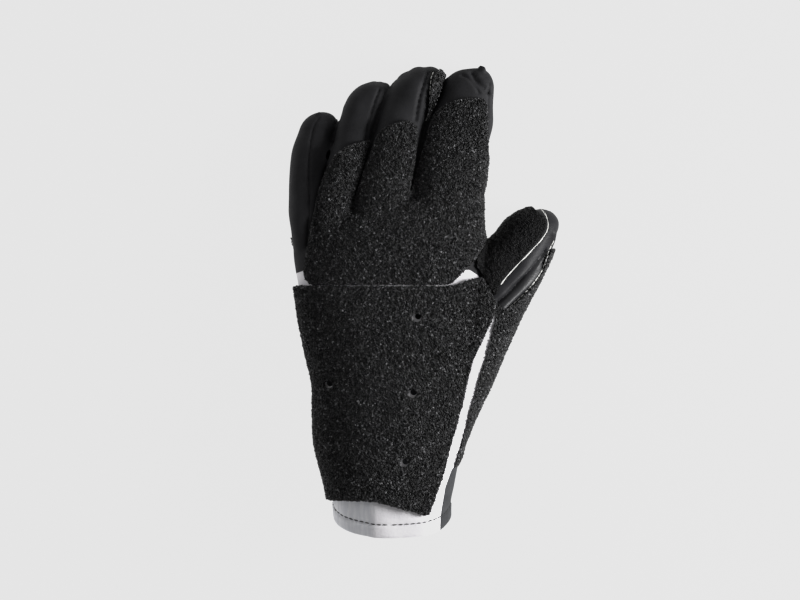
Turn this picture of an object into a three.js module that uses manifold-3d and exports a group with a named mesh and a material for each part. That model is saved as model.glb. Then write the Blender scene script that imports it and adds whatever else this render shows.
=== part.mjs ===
// A target shooter's full-finger glove for the left hand, lying palm down as it rests by itself.
// Millimetres. +X points to the thumb's side, +Y to the fingertips, +Z up, off the surface it rests on.
// The glove is a hollow leather hand with a long cuff. Sheets of granulated rubber lie on it: one over the
// knuckles, a thick pad over the back of hand and wrist, one on the thumb, and more under palm and fingers.
// The leather is the space between two lofted forms, and each rubber sheet is a cut-out of a layer above it.
import * as THREE from "three";
import { LoftGeometry } from "three/addons/geometries/LoftGeometry.js";
import { mergeVertices } from "three/addons/utils/BufferGeometryUtils.js";
import Module from "manifold-3d";

const wasm = await Module();
wasm.setup();

// Thickness of the leather, and where each layer's face lies, measured out from the leather's outer face
const LEATHER = 1.6;
const GAP = 0.3;
const HALF_SEAM = 0.2;
const GRIP_FACE = 2.5;
const PAD_FACE = 3.1;

// Heights of the side seams: the palm's rubber ends below them and the back's rubber begins above them
const FINGER_GRIP_TOP = 6;
const PALM_GRIP_TOP = 11;
const WRIST_GRIP_TOP = 31;
const CUFF_SEAM = 12;
const BACK_BOTTOM = 13.5;

// The palm's rubber: how far its higher edge goes, before the lower one of the fingers, and its wrist end
const PALM_SIDE_X = 32;
const PALM_SIDE_Y = 36;
const WRIST_SIDE_Y = -40;
const PALM_GRIP_END_Y = -94;

// The cuff's rim is square below its middle and slopes out over the back of the wrist
const RIM_Y = -121;
const RIM_MIDDLE_Z = 24;
const RIM_SLOPE = 0.48;
const CUFF_CENTRE_X = -18;
const CUFF_END_Y = 8.7;

// Vent holes through the back pad and the leather under it
const HOLE_RADIUS = 2.2;
const HOLE_SIDES = 8;

// Sections of the leather's outer face: centre, width across, height, and the section's turn in degrees
const HAND = [
  { x: -17.6, y: -150, z: 24.5, width: 61, height: 49, turn: 0 },
  { x: -18.1, y: -112, z: 24.5, width: 67.4, height: 49, turn: 0 },
  { x: -19.4, y: -79, z: 24.0, width: 82, height: 50, turn: 0 },
  { x: -16.0, y: -50, z: 23.2, width: 89.4, height: 49, turn: 0 },
  { x: -15.4, y: -20, z: 21.8, width: 102.4, height: 45, turn: 0 },
  { x: -16.6, y: 8, z: 20.5, width: 108.6, height: 41, turn: 2 },
  { x: -20.5, y: 31, z: 19.6, width: 107, height: 37, turn: 8 },
  { x: -21.0, y: 50, z: 18.5, width: 107, height: 31, turn: 12.6 },
];
const LITTLE = [
  { x: -66.0, y: 22, z: 19.5, width: 12, height: 16, turn: 8 },
  { x: -67.0, y: 46, z: 18.2, width: 18.5, height: 28, turn: 6 },
  { x: -67.0, y: 66, z: 18.2, width: 18.5, height: 25.5, turn: -1 },
  { x: -63.6, y: 84, z: 15.5, width: 22.0, height: 23, turn: -9 },
  { x: -60.0, y: 96, z: 13.5, width: 20.5, height: 21, turn: -12 },
];
const RING = [
  { x: -53.5, y: 30, z: 19.0, width: 15, height: 24, turn: 8 },
  { x: -50.6, y: 54, z: 20.5, width: 19.5, height: 32, turn: 2 },
  { x: -44.2, y: 76, z: 20.8, width: 20.2, height: 28, turn: -12 },
  { x: -38.8, y: 96, z: 18.0, width: 20.6, height: 25, turn: -13 },
  { x: -34.4, y: 109, z: 15.0, width: 22.4, height: 22.5, turn: -4 },
];
const MIDDLE = [
  { x: -29.0, y: 34, z: 19.0, width: 20, height: 24, turn: 10 },
  { x: -23.4, y: 56, z: 21.0, width: 31.4, height: 33, turn: 5 },
  { x: -18.8, y: 76, z: 21.7, width: 29, height: 29.5, turn: -6 },
  { x: -13.3, y: 98, z: 19.5, width: 26.6, height: 26.5, turn: -10 },
  { x: -7.4, y: 116, z: 15.5, width: 27.6, height: 23, turn: 0 },
];
const INDEX = [
  { x: 8.0, y: 34, z: 19.0, width: 30, height: 24, turn: 10 },
  { x: 12.0, y: 60, z: 20.0, width: 40.6, height: 31, turn: 8 },
  { x: 15.4, y: 80, z: 20.4, width: 38, height: 26.5, turn: -2 },
  { x: 20.3, y: 100, z: 18.2, width: 37.2, height: 23.5, turn: -4 },
  { x: 24.3, y: 117, z: 15.0, width: 30.2, height: 21.5, turn: 2 },
];
const THUMB = [
  { x: 5.5, y: -88, z: 22.0, width: 24, height: 26, turn: -20 },
  { x: 20.3, y: -46, z: 21.0, width: 31, height: 37, turn: -26 },
  { x: 31.6, y: -14, z: 19.5, width: 34.3, height: 34, turn: -28 },
  { x: 44.4, y: 12.9, z: 17.5, width: 35, height: 30, turn: -28 },
  { x: 53.0, y: 26.5, z: 15.5, width: 32.5, height: 25, turn: -24 },
  { x: 58.9, y: 38.2, z: 14.0, width: 31, height: 22, turn: -5 },
];

// How many points each section has, and the rounded tip past the last: its length, how far it leans to +X
// for each millimetre of that, and how blunt it is, from 2 for an ellipse upwards
const FORMS = {
  hand: { stations: HAND, around: 24, tip: 5, lean: 0, blunt: 2 },
  little: { stations: LITTLE, around: 12, tip: 10.5, lean: 0.45, blunt: 2.3 },
  ring: { stations: RING, around: 12, tip: 14.5, lean: 0.48, blunt: 3.1 },
  middle: { stations: MIDDLE, around: 12, tip: 16, lean: 0.55, blunt: 2.7 },
  index: { stations: INDEX, around: 12, tip: 15, lean: 0.14, blunt: 2.4 },
  thumb: { stations: THUMB, around: 12, tip: 13.2, lean: 0.58, blunt: 2.1 },
};
const TIP_ANGLES = [38, 68];
const SQUARENESS = 2.35;
const CORNER_SEGMENTS = 2;

// Outlines seen from above: x and y of each corner, and the radius that rounds it.
// The rubber over the knuckles has a slit between each pair of fingers that it covers.
const KNUCKLE_GRIP = [
  { x: -67.2, y: 16.2 },
  { x: -62.5, y: 8.8, r: 4 },
  { x: 14.5, y: 8.8, r: 6 },
  { x: 33.5, y: 27.5 },
  { x: 37.0, y: 40 },
  { x: 37.6, y: 76 },
  { x: 35.8, y: 88 },
  { x: 35.9, y: 108 },
  { x: 34.2, y: 114.5, r: 3 },
  { x: 18.0, y: 113.8 },
  { x: 5.2, y: 106 },
  { x: 0.0, y: 88 },
  { x: -7.0, y: 61.3 },
  { x: -8.4, y: 61.3 },
  { x: -4.2, y: 85 },
  { x: -3.8, y: 98.5 },
  { x: -9.0, y: 101.6, r: 3 },
  { x: -22.4, y: 97.4, r: 3 },
  { x: -27.6, y: 91.2 },
  { x: -40.0, y: 54.4 },
  { x: -41.0, y: 54.6 },
  { x: -30.6, y: 90.4 },
  { x: -41.0, y: 88 },
  { x: -51.6, y: 81 },
  { x: -57.4, y: 68 },
  { x: -62.9, y: 48 },
];
// The thick pad over the back of hand and wrist, which wraps round the little finger's side to the side seam
const BACK_PAD = [
  { x: -90, y: 8 },
  { x: 15, y: 8, r: 6 },
  { x: 32.6, y: 13.2, r: 1.5 },
  { x: 40.6, y: -1.8, r: 4 },
  { x: 38.2, y: -9.5, r: 2 },
  { x: 26.5, y: -36, r: 8 },
  { x: 21.7, y: -56 },
  { x: 9.9, y: -100 },
  { x: 2.6, y: -121.6, r: 3 },
  { x: -29, y: -112.8, r: 12 },
  { x: -51, y: -113.6 },
  { x: -57, y: -105.5 },
  { x: -90, y: -104 },
];
// The oval rubber on the thumb
const THUMB_GRIP = [
  { x: 40.4, y: 1.6, r: 3 },
  { x: 33.4, y: 13.8 },
  { x: 29.8, y: 18.6, r: 2 },
  { x: 28, y: 60 },
  { x: 55, y: 60 },
  { x: 62.5, y: 51.4 },
  { x: 69.4, y: 47, r: 6 },
  { x: 68.6, y: 38.6, r: 6 },
  { x: 58.9, y: 28 },
  { x: 43.8, y: 12.4 },
];
// The palm's rubber comes up round the thumb's side to this line: beside the pad, then along the thumb
const PALM_GRIP_SIDE = [
  { x: 18.0, y: -94.6 },
  { x: 32.3, y: -38 },
  { x: 36.0, y: -24 },
  { x: 41.2, y: -8.4 },
  { x: 46.3, y: -6.2 },
  { x: 58.5, y: 4.4 },
  { x: 67.6, y: 16.6 },
  { x: 70.4, y: 24.5 },
  { x: 72.6, y: 31 },
  { x: 75.5, y: 37 },
  { x: 90, y: 40 },
  { x: 90, y: -94.6 },
];
// The middle finger is rolled a little, so its rubber also shows beside the index finger
const MIDDLE_GRIP_SIDE = [
  { x: 2.0, y: 101 },
  { x: 3.6, y: 118 },
  { x: 5.4, y: 130 },
  { x: 5.4, y: 150 },
  { x: 40, y: 150 },
  { x: 40, y: 101 },
];
// The white leather of the cuff's back ends at the black leather and at a seam on the thumb's side
const CUFF_BACK = [
  { x: -90, y: 9 },
  { x: -68, y: 16.8 },
  { x: 26, y: 18 },
  { x: 35, y: 13 },
  { x: 40.6, y: -1.4 },
  { x: 33.9, y: -28 },
  { x: 24.9, y: -67 },
  { x: 17.5, y: -94 },
  { x: 11.3, y: -118 },
  { x: 9.6, y: -150 },
  { x: -90, y: -150 },
];
// The whole cuff, up to the black leather's lower edge
const CUFF = [
  { x: -90, y: 9 },
  { x: -68, y: 16.8 },
  { x: 26, y: 18 },
  { x: 35, y: 13 },
  { x: 60, y: -2 },
  { x: 60, y: -160 },
  { x: -90, y: -160 },
];
// Centres of the vent holes
const HOLES = [
  { x: -4.2, y: -9.6 },
  { x: -6.8, y: -52 },
  { x: -11.3, y: -90.7 },
  { x: -53.7, y: -47.2 },
];

// Where hand and fingers part, and the lines beside and between the fingers, each running up the page
const KNUCKLE_LINE = [
  { x: -90, y: 38 },
  { x: 60, y: 70 },
];
const FINGER_LINES = [
  [
    { x: -100, y: 0 },
    { x: -100, y: 150 },
  ],
  [
    { x: -66, y: 30 },
    { x: -57.6, y: 68 },
    { x: -51.4, y: 88 },
    { x: -49.2, y: 98 },
    { x: -38, y: 150 },
  ],
  [
    { x: -46, y: 30 },
    { x: -40.7, y: 54 },
    { x: -33.8, y: 76 },
    { x: -27.6, y: 97 },
    { x: -21.9, y: 115 },
    { x: -14, y: 150 },
  ],
  [
    { x: -16, y: 30 },
    { x: -8, y: 58 },
    { x: -3.8, y: 76 },
    { x: 1.6, y: 98 },
    { x: 8.7, y: 117 },
    { x: 20, y: 150 },
  ],
  [
    { x: 100, y: 0 },
    { x: 100, y: 150 },
  ],
];
// The thumb's leather is seamed on here, from in front of the index finger, through the fork, to the wrist
const THUMB_SEAM = [
  { x: 60, y: 80 },
  { x: 44.5, y: 52 },
  { x: 37.6, y: 41 },
  { x: 34.4, y: 31.6 },
  { x: 29.4, y: 24 },
  { x: 28.4, y: 17.5 },
  { x: 32, y: 11 },
  { x: 40.6, y: -2 },
  { x: 46, y: -14 },
  { x: 70, y: -32 },
];

// Past everything
const FAR = 200;

// Solids from three.js geometry, and back
function solidOf(geometry) {
  const bare = new THREE.BufferGeometry();
  bare.setAttribute("position", geometry.attributes.position);
  bare.setIndex(geometry.index);
  const merged = mergeVertices(bare, 1e-4);
  return new wasm.Manifold(
    new wasm.Mesh({
      numProp: 3,
      vertProperties: merged.attributes.position.array,
      triVerts: new Uint32Array(merged.index.array),
    }),
  );
}

function geometryOf(solid) {
  const mesh = solid.getMesh();
  const geometry = new THREE.BufferGeometry();
  geometry.setAttribute("position", new THREE.BufferAttribute(mesh.vertProperties, 3));
  geometry.setIndex(new THREE.BufferAttribute(mesh.triVerts, 1));
  geometry.computeVertexNormals();
  return geometry;
}

// One rounded section as a ring of points, a superellipse standing upright across the form
function ring({ x, y, z, width, height, turn }, around, grow, scale) {
  const angle = THREE.MathUtils.degToRad(turn);
  const across = new THREE.Vector3(Math.cos(angle), Math.sin(angle), 0);
  const up = new THREE.Vector3(0, 0, 1);
  const soften = (value) => Math.sign(value) * Math.abs(value) ** (2 / SQUARENESS);
  return Array.from({ length: around }, (_, i) => {
    const a = (2 * Math.PI * i) / around;
    return new THREE.Vector3(x, y, z)
      .addScaledVector(across, scale * (width / 2 + grow) * soften(Math.sin(a)))
      .addScaledVector(up, scale * (height / 2 + grow) * soften(Math.cos(a)));
  });
}

// A form grown outwards by a distance: its sections, then a rounded tip that drops on as the last two do
function form({ stations, around, tip, lean, blunt }, grow) {
  const rings = stations.map((station) => ring(station, around, grow, 1));
  const last = stations.at(-1);
  const before = stations.at(-2);
  const drop = (last.z - before.z) / (last.y - before.y);
  for (const degrees of TIP_ANGLES) {
    const angle = THREE.MathUtils.degToRad(degrees);
    const along = (tip + grow) * Math.sin(angle) ** (2 / blunt);
    const place = { ...last, x: last.x + along * lean, y: last.y + along, z: last.z + along * drop };
    rings.push(ring(place, around, grow, Math.cos(angle) ** (2 / blunt)));
  }
  return solidOf(new LoftGeometry(rings, { capStart: true, capEnd: true }));
}

// All that lies within the stated ranges
function block({ x = [-FAR, FAR], y = [-FAR, FAR], z = [-FAR, FAR] }) {
  const [width, depth, height] = [x, y, z].map(([low, high]) => high - low);
  const [middleX, middleY, middleZ] = [x, y, z].map(([low, high]) => (low + high) / 2);
  return solidOf(new THREE.BoxGeometry(width, depth, height).translate(middleX, middleY, middleZ));
}

// An upright prism over a plan outline whose corners may be rounded
function prism(corners, low = -FAR, high = FAR) {
  const shape = new THREE.Shape();
  const at = corners.map(({ x, y }) => new THREE.Vector2(x, y));
  const towards = (from, to, distance) =>
    from.clone().add(to.clone().sub(from).setLength(Math.min(distance, from.distanceTo(to) / 2.1)));
  corners.forEach(({ r = 0 }, i) => {
    const here = at[i];
    const enter = r ? towards(here, at.at(i - 1), r) : here;
    const leave = r ? towards(here, at[(i + 1) % at.length], r) : here;
    if (i === 0) shape.moveTo(enter.x, enter.y);
    else shape.lineTo(enter.x, enter.y);
    if (r) shape.quadraticCurveTo(here.x, here.y, leave.x, leave.y);
  });
  shape.closePath();
  const options = { depth: high - low, bevelEnabled: false, curveSegments: CORNER_SEGMENTS };
  return solidOf(new THREE.ExtrudeGeometry(shape, options).translate(0, 0, low));
}

// The whole glove's outer form grown by a distance, flat where the rubber under it rests on the surface
function gloveForm(grow) {
  const forms = Object.values(FORMS).map((each) => form(each, grow));
  const joined = forms.reduce((sum, each) => sum.add(each));
  return joined.intersect(block({ z: [GRIP_FACE - grow, FAR] }));
}

// What the rim cuts off: everything past a line in the side view, across the whole width
function pastRim() {
  const side = new THREE.Shape([
    new THREE.Vector2(RIM_Y, -FAR),
    new THREE.Vector2(RIM_Y, RIM_MIDDLE_Z),
    new THREE.Vector2(RIM_Y - RIM_SLOPE * (FAR - RIM_MIDDLE_Z), FAR),
    new THREE.Vector2(-2 * FAR, FAR),
    new THREE.Vector2(-2 * FAR, -FAR),
  ]);
  const geometry = new THREE.ExtrudeGeometry(side, { depth: 2 * FAR, bevelEnabled: false });
  // The extrusion's own x, y and z become Y, Z and X here
  geometry.applyMatrix4(new THREE.Matrix4().set(0, 0, 1, -FAR, 1, 0, 0, 0, 0, 1, 0, 0, 0, 0, 0, 1));
  return solidOf(geometry);
}

// The plan region between two lines that both run to the fingertips, each moved inwards by half a seam
function between(left, right) {
  return prism([
    ...left.map(({ x, y }) => ({ x: x + HALF_SEAM, y })),
    ...right.map(({ x, y }) => ({ x: x - HALF_SEAM, y })).reverse(),
  ]);
}

// The plan region on one side of a line across the hand: 1 for the fingertips' side, -1 for the wrist's
function beyond([start, end], side) {
  return prism([
    { x: start.x, y: start.y + side * HALF_SEAM },
    { x: end.x, y: end.y + side * HALF_SEAM },
    { x: end.x, y: side * FAR },
    { x: start.x, y: side * FAR },
  ]);
}

// The plan region on the thumb's side of its seam, moved off the seam by an amount
function thumbSide(shift) {
  return prism([
    ...THUMB_SEAM.map(({ x, y }) => ({ x: x + shift, y })),
    { x: FAR, y: THUMB_SEAM.at(-1).y },
    { x: FAR, y: THUMB_SEAM[0].y },
  ]);
}

// The largest body of a solid, without the slivers that a cut leaves beside it
function mainBody(solid) {
  const bodies = solid.decompose();
  return bodies.reduce((best, each) => (each.volume() > best.volume() ? each : best));
}

// The leather is one skin, and the rubber lies in layers above it
const skin = gloveForm(0).subtract(gloveForm(-LEATHER)).subtract(pastRim());
const gripFloor = gloveForm(GAP);
const gripLayer = gloveForm(GRIP_FACE).subtract(gripFloor);
const padLayer = gloveForm(PAD_FACE).subtract(gripFloor).subtract(pastRim());

// The plan regions of thumb, fingers and hand
const thumbRegion = thumbSide(GAP);
const fingersRegion = beyond(KNUCKLE_LINE, 1).subtract(thumbSide(0));
const handRegion = beyond(KNUCKLE_LINE, -1).subtract(thumbSide(0));
const fingerRegions = FINGER_LINES.slice(1).map((line, i) => {
  return between(FINGER_LINES[i], line).intersect(fingersRegion);
});

// The white back of the cuff, widened by an amount. Its seam is low on the little finger's side.
function cuffBackRegion(grow) {
  const line = CUFF_BACK.map(({ x, y }) => ({ x: x + grow, y }));
  const low = prism(line, CUFF_SEAM - grow).intersect(block({ x: [-FAR, CUFF_CENTRE_X] }));
  return prism(line, RIM_MIDDLE_Z - grow).add(low);
}

// Black leather of the hand, thumb and fingers
function handLeather() {
  const cuffAndGap = prism(CUFF.map(({ x, y }) => ({ x, y: y + GAP })));
  return mainBody(skin.intersect(handRegion).subtract(cuffAndGap));
}

function thumbStall() {
  return mainBody(skin.intersect(thumbRegion));
}

function fingerLeather(region) {
  return mainBody(skin.intersect(region));
}

// A piece with the vent holes drilled down into it, as far as the hollow
function vented(solid) {
  return HOLES.reduce((pierced, { x, y }) => {
    const drill = new THREE.CylinderGeometry(HOLE_RADIUS, HOLE_RADIUS, FAR, HOLE_SIDES);
    return pierced.subtract(solidOf(drill.rotateX(Math.PI / 2).translate(x, y, FAR / 2 + RIM_MIDDLE_Z)));
  }, solid);
}

// The cuff: white leather over the back, and a soft grey piece round the thumb's side and under the wrist
function cuffBack() {
  return mainBody(vented(skin.intersect(handRegion).intersect(cuffBackRegion(0))));
}

function cuffPalm() {
  const region = handRegion.intersect(prism(CUFF)).intersect(block({ y: [-FAR, CUFF_END_Y] }));
  return mainBody(skin.intersect(region).subtract(cuffBackRegion(GAP)));
}

// The rubber sheets on the back of the hand
function knuckleGrip() {
  return mainBody(gripLayer.intersect(prism(KNUCKLE_GRIP, BACK_BOTTOM)).subtract(thumbSide(0)));
}

function backPad() {
  return mainBody(vented(padLayer.intersect(prism(BACK_PAD, BACK_BOTTOM))));
}

function thumbGrip() {
  const oval = prism(THUMB_GRIP, PALM_GRIP_TOP + GAP).intersect(thumbRegion);
  return mainBody(gripLayer.intersect(oval).subtract(prism(BACK_PAD, BACK_BOTTOM - 1)));
}

// The rubber sheets under palm, thumb and fingers
const underFingers = block({ z: [-FAR, FINGER_GRIP_TOP] });

function palmGrip() {
  const palm = block({ x: [-FAR, PALM_SIDE_X], y: [-FAR, PALM_SIDE_Y], z: [-FAR, PALM_GRIP_TOP] });
  const wrist = block({ x: [0, FAR], y: [-FAR, WRIST_SIDE_Y], z: [-FAR, WRIST_GRIP_TOP] });
  const region = underFingers.add(palm).add(wrist).add(prism(PALM_GRIP_SIDE));
  const shortOfRim = block({ y: [PALM_GRIP_END_Y, FAR] });
  const beyondKnuckles = beyond(
    KNUCKLE_LINE.map(({ x, y }) => ({ x, y: y - GAP })),
    1,
  );
  const sheet = gripLayer.intersect(region).intersect(shortOfRim);
  return mainBody(sheet.subtract(beyondKnuckles.subtract(thumbSide(0))));
}

function fingerGrip(region, rolledSide) {
  const sides = rolledSide ? underFingers.add(prism(rolledSide)) : underFingers;
  return mainBody(gripLayer.intersect(region).intersect(sides));
}

// Materials
const blackLeather = new THREE.MeshStandardMaterial({ color: 0x2b2b2d, roughness: 0.62, metalness: 0 });
const whiteLeather = new THREE.MeshStandardMaterial({ color: 0xe2e0e2, roughness: 0.55, metalness: 0 });
const greyStretch = new THREE.MeshStandardMaterial({ color: 0x4d4e50, roughness: 0.85, metalness: 0 });
const rubber = new THREE.MeshStandardMaterial({ color: 0x1d1d1e, roughness: 0.9, metalness: 0 });

const glove = new THREE.Group();
function add(name, solid, material) {
  const mesh = new THREE.Mesh(geometryOf(solid), material);
  mesh.name = name;
  glove.add(mesh);
}

add("hand_leather", handLeather(), blackLeather);
add("thumb_stall", thumbStall(), blackLeather);
["little", "ring", "middle", "index"].forEach((name, i) => {
  const rolledSide = name === "middle" ? MIDDLE_GRIP_SIDE : null;
  add(`${name}_finger`, fingerLeather(fingerRegions[i]), blackLeather);
  add(`${name}_finger_grip`, fingerGrip(fingerRegions[i], rolledSide), rubber);
});
add("cuff_back", cuffBack(), whiteLeather);
add("cuff_palm", cuffPalm(), greyStretch);
add("knuckle_grip", knuckleGrip(), rubber);
add("back_pad", backPad(), rubber);
add("thumb_grip", thumbGrip(), rubber);
add("palm_grip", palmGrip(), rubber);

export default glove;
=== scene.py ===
import math

import bmesh
import bpy
import numpy as np
from mathutils import Matrix, Vector, noise
from mathutils.bvhtree import BVHTree
from mathutils.kdtree import KDTree


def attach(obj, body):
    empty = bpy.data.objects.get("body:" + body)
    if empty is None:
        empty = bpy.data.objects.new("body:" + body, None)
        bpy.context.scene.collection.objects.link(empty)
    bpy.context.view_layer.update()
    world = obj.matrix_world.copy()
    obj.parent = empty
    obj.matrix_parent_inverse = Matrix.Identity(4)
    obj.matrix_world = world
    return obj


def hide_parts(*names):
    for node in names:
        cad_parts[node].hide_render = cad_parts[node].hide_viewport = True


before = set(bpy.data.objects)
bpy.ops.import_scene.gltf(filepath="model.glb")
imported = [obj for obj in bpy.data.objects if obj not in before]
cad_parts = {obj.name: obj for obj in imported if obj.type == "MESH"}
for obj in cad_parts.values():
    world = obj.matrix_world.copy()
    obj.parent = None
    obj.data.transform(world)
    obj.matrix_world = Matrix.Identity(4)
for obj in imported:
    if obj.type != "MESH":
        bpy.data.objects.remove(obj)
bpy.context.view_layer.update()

# The leather hand. The real one is soft black leather sewn from fingers, side strips and a hand piece,
# which keeps the shape of a half-bent hand when it is empty. Lofted forms are joined into one smooth
# skin, and each sewn part is cut out of the wall between an outer and an inner skin.
MM = 0.001
SQUARENESS = 2.35
RING_POINTS = 56
STATION_SPACING = 3.0
LEATHER = 1.6
GRIP_FACE = 2.5
# A distance past the whole glove from anywhere on it
FAR = 200

# Sections of the leather's outer face in mm: the centre's x, y and z, width, height, and turn in degrees
HAND = (
    (-17.6, -150, 24.5, 61, 49, 0),
    (-18.1, -112, 24.5, 67.4, 49, 0),
    (-18.5, -79, 24.0, 82, 50, 0),
    (-15.8, -50, 23.2, 89, 49, 0),
    (-15.4, -20, 21.8, 102.4, 45, 0),
    (-16.6, 8, 20.5, 108.6, 41, 2),
    (-20.5, 31, 19.6, 107, 37, 8),
    (-21.0, 50, 18.5, 107, 31, 12.6),
)
LITTLE = (
    (-66.0, 22, 19.5, 12, 16, 8),
    (-67.0, 46, 18.2, 18.5, 28, 6),
    (-67.0, 66, 18.2, 18.5, 25.5, -1),
    (-63.6, 84, 15.5, 22.0, 23, -9),
    (-60.0, 96, 13.5, 20.5, 21, -12),
)
RING = (
    (-53.5, 30, 19.0, 15, 24, 8),
    (-50.6, 54, 20.5, 19.5, 32, 2),
    (-44.2, 76, 20.8, 20.2, 28, -12),
    (-38.8, 96, 18.0, 20.6, 25, -13),
    (-34.4, 109, 15.0, 22.4, 22.5, -4),
)
MIDDLE = (
    (-29.0, 34, 19.0, 20, 24, 10),
    (-23.4, 56, 21.0, 31.4, 33, 5),
    (-18.8, 76, 21.7, 29, 29.5, -6),
    (-13.3, 98, 19.5, 26.6, 26.5, -10),
    (-7.4, 116, 15.5, 27.6, 23, 0),
)
INDEX = (
    (8.0, 34, 19.0, 30, 24, 10),
    (12.0, 60, 20.0, 40.6, 31, 8),
    (15.4, 80, 20.4, 38, 26.5, -2),
    (20.3, 100, 18.2, 37.2, 23.5, -4),
    (24.3, 117, 15.0, 30.2, 21.5, 2),
)
THUMB = (
    (5.5, -88, 22.0, 24, 26, -20),
    (20.3, -46, 21.0, 31, 37, -26),
    (31.6, -14, 19.5, 34.3, 34, -28),
    (44.4, 12.9, 17.5, 35, 30, -28),
    (53.0, 26.5, 15.5, 32.5, 25, -24),
    (58.9, 38.2, 14.0, 31, 22, -5),
)
# Each form: its sections, then its rounded tip's length, lean to the thumb's side, and bluntness
FORMS = (
    (HAND, 5, 0, 2),
    (LITTLE, 10.5, 0.45, 2.3),
    (RING, 14.5, 0.48, 3.1),
    (MIDDLE, 16, 0.55, 2.7),
    (INDEX, 15, 0.14, 2.4),
    (THUMB, 13.2, 0.58, 2.1),
)
# Where the rings of a rounded tip stand, in degrees from its root to its end
TIP_ANGLES = (12, 24, 36, 47, 57, 66, 74, 81, 86)


def smooth_run(rows, spacing):
    """Rows of numbers with more between them on a smooth curve, about one spacing apart."""
    rows = np.array(rows, float)
    ends = np.vstack([2 * rows[0] - rows[1], rows, 2 * rows[-1] - rows[-2]])
    run = []
    for a, b, c, d in zip(ends, ends[1:], ends[2:], ends[3:]):
        count = max(1, round(np.linalg.norm((c - b)[:2]) / spacing))
        for t in np.arange(count) / count:
            bend = (2 * a - 5 * b + 4 * c - d) * t * t + (3 * b - a - 3 * c + d) * t**3
            run.append((2 * b + (c - a) * t + bend) / 2)
    run.append(rows[-1])
    return run


def new_object(name, bm):
    """An object in the scene from a bmesh in millimetres."""
    mesh = bpy.data.meshes.new(name)
    bmesh.ops.scale(bm, vec=(MM, MM, MM), verts=bm.verts)
    bm.to_mesh(mesh)
    bm.free()
    made = bpy.data.objects.new(name, mesh)
    bpy.context.scene.collection.objects.link(made)
    return made


def apply_modifier(piece, kind, **settings):
    """Give a piece a modifier and turn its result into the piece's mesh."""
    modifier = piece.modifiers.new(kind, kind)
    for name, value in settings.items():
        setattr(modifier, name, value)
    seen = piece.evaluated_get(bpy.context.evaluated_depsgraph_get())
    mesh = bpy.data.meshes.new_from_object(seen)
    piece.modifiers.clear()
    old = piece.data
    piece.data = mesh
    bpy.data.meshes.remove(old)


def points_of(mesh):
    """The mesh's points in millimetres, one row each."""
    points = np.empty(3 * len(mesh.vertices), np.float32)
    mesh.vertices.foreach_get("co", points)
    return points.reshape(-1, 3).astype(float) / MM


def set_points(mesh, points):
    """Put the mesh's points where the rows say, in millimetres."""
    mesh.vertices.foreach_set("co", (points * MM).astype(np.float32).ravel())
    mesh.update()


def normals_of(mesh):
    """The way that the surface faces at each point."""
    normals = np.empty(3 * len(mesh.vertices), np.float32)
    mesh.vertex_normals.foreach_get("vector", normals)
    return normals.reshape(-1, 3).astype(float)


def add_ring(bm, station, grow, scale):
    """One rounded section, a squarish ring standing upright across the form. Gives its edges."""
    x, y, z, width, height, turn = station
    verts = bmesh.ops.create_circle(bm, cap_ends=False, radius=1, segments=RING_POINTS)["verts"]
    across = Vector((math.cos(math.radians(turn)), math.sin(math.radians(turn)), 0))
    for vert in verts:
        side, up = (math.copysign(abs(v) ** (2 / SQUARENESS), v) for v in vert.co.xy)
        offset = across * side * scale * (width / 2 + grow)
        offset.z = up * scale * (height / 2 + grow)
        vert.co = Vector((x, y, z)) + offset
    return list(dict.fromkeys(edge for vert in verts for edge in vert.link_edges))


def add_form(bm, stations, tip, lean, blunt, grow):
    """One closed form: its rings and a rounded tip that drops on as its last two sections do."""
    rings = [add_ring(bm, station, grow, 1) for station in smooth_run(stations, STATION_SPACING)]
    last = np.array(stations[-1], float)
    drop = (last[2] - stations[-2][2]) / (last[1] - stations[-2][1])
    for degrees in TIP_ANGLES:
        angle = math.radians(degrees)
        along = (tip + grow) * math.sin(angle) ** (2 / blunt)
        place = last + np.array((along * lean, along, along * drop, 0, 0, 0))
        rings.append(add_ring(bm, place, grow, math.cos(angle) ** (2 / blunt)))
    for first, second in zip(rings, rings[1:]):
        bmesh.ops.bridge_loops(bm, edges=first + second)
    for end in (rings[0], rings[-1]):
        bmesh.ops.contextual_create(bm, geom=end)


def glove_form(name, grow, voxel, smoothing):
    """The whole glove's skin, grown outwards by some millimetres and flat where it rests."""
    bm = bmesh.new()
    for stations, tip, lean, blunt in FORMS:
        add_form(bm, stations, tip, lean, blunt, grow)
    bmesh.ops.recalc_face_normals(bm, faces=bm.faces)
    made = new_object(name, bm)
    apply_modifier(made, "REMESH", mode="VOXEL", voxel_size=voxel * MM)
    apply_modifier(made, "SMOOTH", factor=0.5, iterations=smoothing)
    points = points_of(made.data)
    points[:, 2] = np.maximum(points[:, 2], GRIP_FACE - grow)
    set_points(made.data, points)
    return made


def tree_of(piece):
    """A piece's faces, ready to be met by rays."""
    bm = bmesh.new()
    bm.from_mesh(piece.data)
    tree = BVHTree.FromBMesh(bm)
    bm.free()
    return tree


def drape(tree, corners, spacing=0.5):
    """Points on a smooth plan line, dropped onto a surface from above, with the way it faces there."""
    dropped = []
    for x, y in smooth_run(corners, spacing):
        place, normal, _, _ = tree.ray_cast(Vector((x, y, FAR)) * MM, Vector((0, 0, -1)))
        if place:
            dropped.append((place / MM, normal))
    return dropped


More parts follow.
